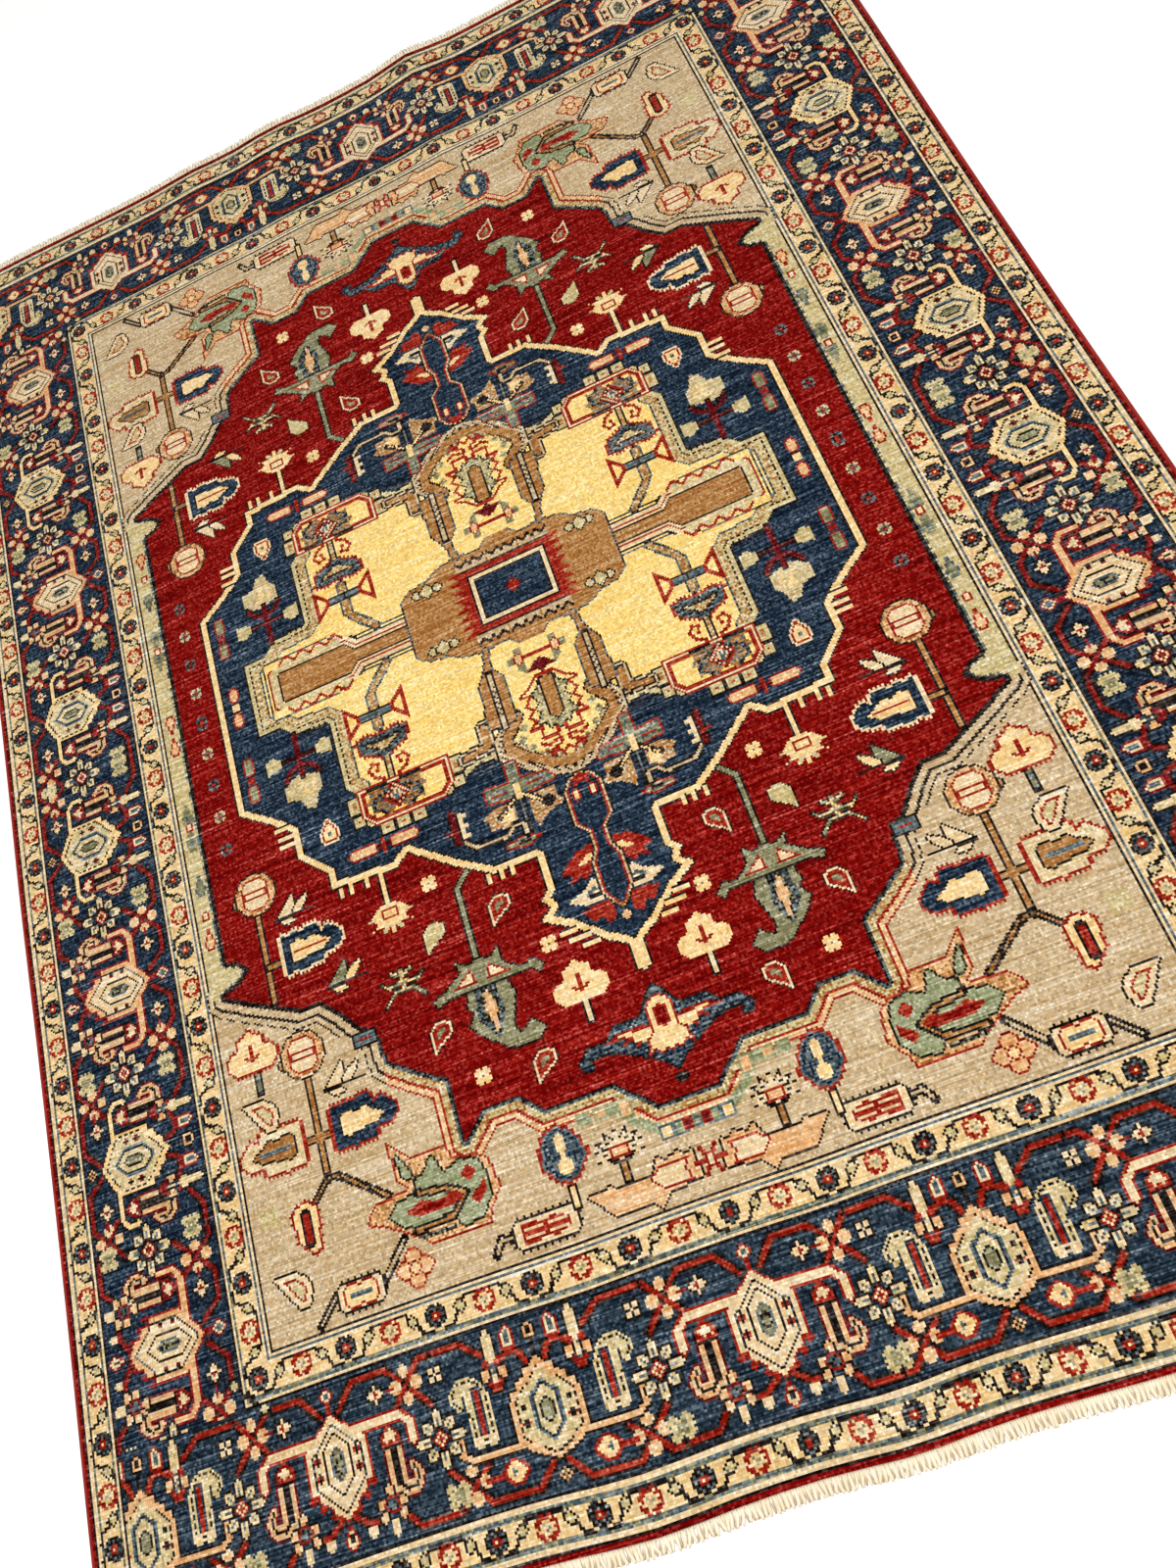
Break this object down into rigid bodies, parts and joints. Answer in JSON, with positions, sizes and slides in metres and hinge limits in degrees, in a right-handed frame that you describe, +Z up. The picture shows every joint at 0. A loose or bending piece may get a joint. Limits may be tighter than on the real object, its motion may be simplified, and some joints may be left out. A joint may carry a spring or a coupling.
{
  "type": "hand-knotted rug",
  "caption": "Flat rectangular hand-knotted wool rug with a thick pile, overcast side cords and a short fringe at each end.",
  "frame": {"origin": "on the floor, under the middle of the rug and its fringes", "axes": "+Y along the rug's length towards the far fringe, +X across it, +Z up out of the pile"},
  "size_m": [1.7926, 2.4764, 0.009],
  "materials": {
    "pile": "cut wool pile, matte",
    "side_cord": "overcast red wool, matte",
    "warp_ends": "undyed cotton warp, matte"
  },
  "bodies": {
    "root": {"carpet": "pile", "selvedge_left": "side_cord", "selvedge_right": "side_cord", "fringe_near": "warp_ends", "fringe_far": "warp_ends"}
  },
  "joints": []
}
